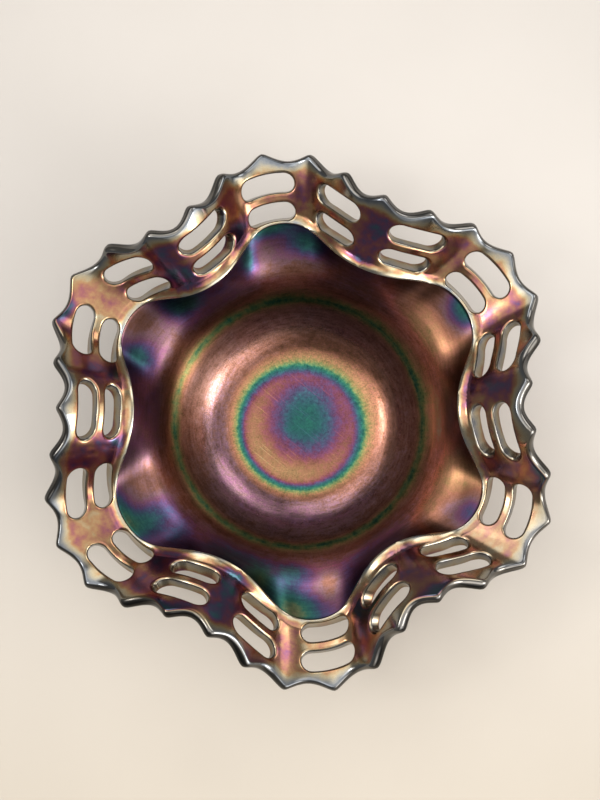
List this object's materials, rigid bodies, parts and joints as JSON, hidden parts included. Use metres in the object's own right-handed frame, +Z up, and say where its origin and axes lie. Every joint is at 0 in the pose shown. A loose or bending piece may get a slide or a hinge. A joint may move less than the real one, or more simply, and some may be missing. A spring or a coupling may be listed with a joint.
{
  "type": "bowl",
  "caption": "Ruffled glass bowl with a round well, a crimped flaring side, a pierced openwork band, a scalloped lip and a low collar foot.",
  "frame": {"origin": "centre of the foot's resting face, at table level", "axes": "+Z up out of the mouth; +Y towards a ruffle's lobe, the bowl's longest way across; +X to its right"},
  "size_m": [0.1653, 0.1764, 0.0611],
  "materials": {
    "iridescent_glass": "dark amethyst pressed glass under a metallic iridescent film, nearly opaque"
  },
  "bodies": {
    "root": {"collar_base": "iridescent_glass", "bowl_well": "iridescent_glass", "ruffled_side": "iridescent_glass", "openwork_band": "iridescent_glass", "scalloped_lip": "iridescent_glass"}
  },
  "joints": []
}
